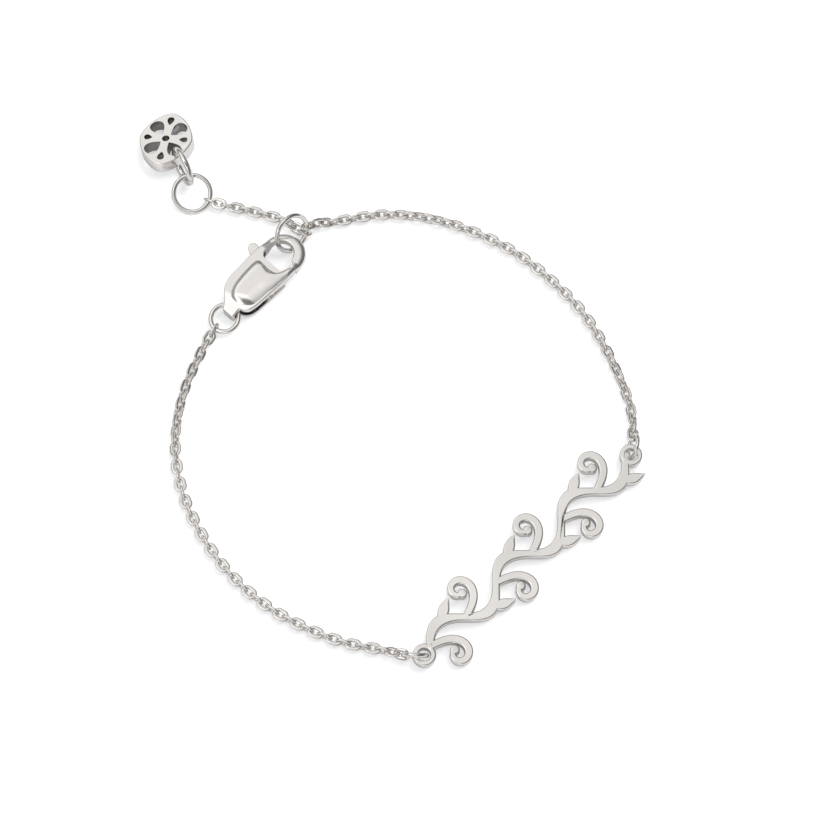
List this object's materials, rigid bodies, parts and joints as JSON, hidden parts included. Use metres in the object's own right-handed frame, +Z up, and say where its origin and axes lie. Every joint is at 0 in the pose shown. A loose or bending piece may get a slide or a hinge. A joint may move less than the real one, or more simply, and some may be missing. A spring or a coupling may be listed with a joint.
{
  "type": "nameplate bracelet",
  "caption": "Silver nameplate bracelet: ornamental openwork plate between cable chains, with a lobster clasp, closure ring, short extender and pierced charm.",
  "frame": {"origin": "centre of the bounding box on the surface the bracelet lies on", "axes": "+Z up; the plate crosses the loop's lower right side in plan, and the extender and charm run to the upper left (-X, +Y)"},
  "size_m": [0.0574, 0.068, 0.0049],
  "materials": {
    "silver": "polished"
  },
  "bodies": {
    "bracelet": {"nameplate": "silver", "plate_ring_left": "silver", "plate_ring_right": "silver", "chain_left": "silver", "chain_right": "silver", "clasp_ring": "silver", "clasp_body": "silver", "clasp_pin": "silver", "closure_ring": "silver", "extender_chain": "silver", "end_ring": "silver", "charm_ring": "silver", "charm": "silver"},
    "lever": {"clasp_lever": "silver"}
  },
  "joints": [
    {"name": "lever_hinge", "type": "hinge", "parent": "bracelet", "child": "lever", "pos_m": [-0.01356, 0.01158, 0.0015], "axis": [-0.0292, -0.0324, 0.999], "range_deg": [0, 25], "stiffness_Nm_per_rad": 0.004, "springref_deg": -20.05}
  ]
}
